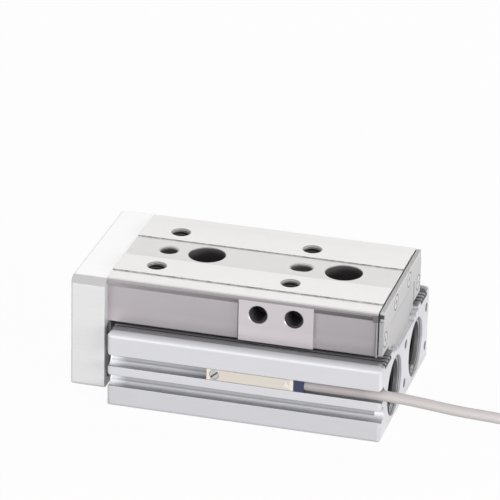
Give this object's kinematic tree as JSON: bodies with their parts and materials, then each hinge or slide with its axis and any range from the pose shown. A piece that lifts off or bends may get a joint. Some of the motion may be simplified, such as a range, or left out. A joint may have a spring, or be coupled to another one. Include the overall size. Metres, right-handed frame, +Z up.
{
  "type": "pneumatic slide table",
  "caption": "Twin-rod air slide table: an aluminium cylinder body with a rail, a ground table on balls, an end plate on the rods, and a position switch with its lead.",
  "frame": {"origin": "under the middle of the unit, on the face that it is bolted down on; the lead is left out", "axes": "+X from the end plate to the head end, -Y the sensor side, +Z up through the table"},
  "size_m": [0.142, 0.0564, 0.0313],
  "materials": {
    "anodised_body": "fine blasted and clear anodised extrusion",
    "anodised_plate": "fine blasted and clear anodised plate",
    "ground_steel": "ground and nickel plated steel",
    "rail_steel": "hardened and ground stainless steel",
    "rod_steel": "hard chromed and polished",
    "black_oxide": "black oxide screws",
    "zinc_screw": "zinc plated small screws",
    "spring_steel": "phosphated spring steel",
    "grey_resin": "light grey moulded resin",
    "black_resin": "dark moulded resin",
    "nitrile": "black nitrile rubber",
    "urethane": "dull green urethane",
    "bronze": "sintered bronze",
    "ptfe": "filled PTFE",
    "magnet": "sintered magnet",
    "cream_plastic": "cream moulded plastic",
    "navy_plastic": "dark blue moulded plastic",
    "lead_sheath": "light grey vinyl sheath",
    "core_wire": "thin insulated cores"
  },
  "bodies": {
    "base": {"body_housing": "anodised_body", "rail": "rail_steel", "rail_screws": "black_oxide", "head_caps": "black_resin", "head_cap_orings": "nitrile", "head_bumpers": "urethane", "head_retaining_rings": "spring_steel", "rod_covers": "anodised_body", "rod_cover_orings": "nitrile", "rod_bushes": "bronze", "rod_seals": "nitrile", "rod_bumpers": "urethane", "rod_retaining_rings": "spring_steel", "switch_housing": "cream_plastic", "switch_boot": "navy_plastic", "switch_screw": "zinc_screw", "switch_lead": "lead_sheath", "lead_coil": "lead_sheath", "coil_tie": "black_resin", "lead_tail": "lead_sheath", "lead_cores": "core_wire"},
    "slide": {"table": "ground_steel", "end_plate": "anodised_plate", "end_plate_bolts": "black_oxide", "piston_rods": "rod_steel", "rod_bolts": "black_oxide", "floating_bushes": "rail_steel", "pistons": "anodised_body", "piston_seals": "nitrile", "piston_magnets": "magnet", "wear_rings": "ptfe", "end_cap": "grey_resin", "scraper": "nitrile", "inner_end_cap": "grey_resin", "inner_scraper": "nitrile", "end_cap_screws": "zinc_screw", "inner_cap_screws": "zinc_screw", "ball_rows": "rail_steel"}
  },
  "joints": [
    {"name": "table_slide", "type": "slide", "parent": "base", "child": "slide", "axis": [-1, 0, 0], "range_m": [0, 0.03]}
  ]
}
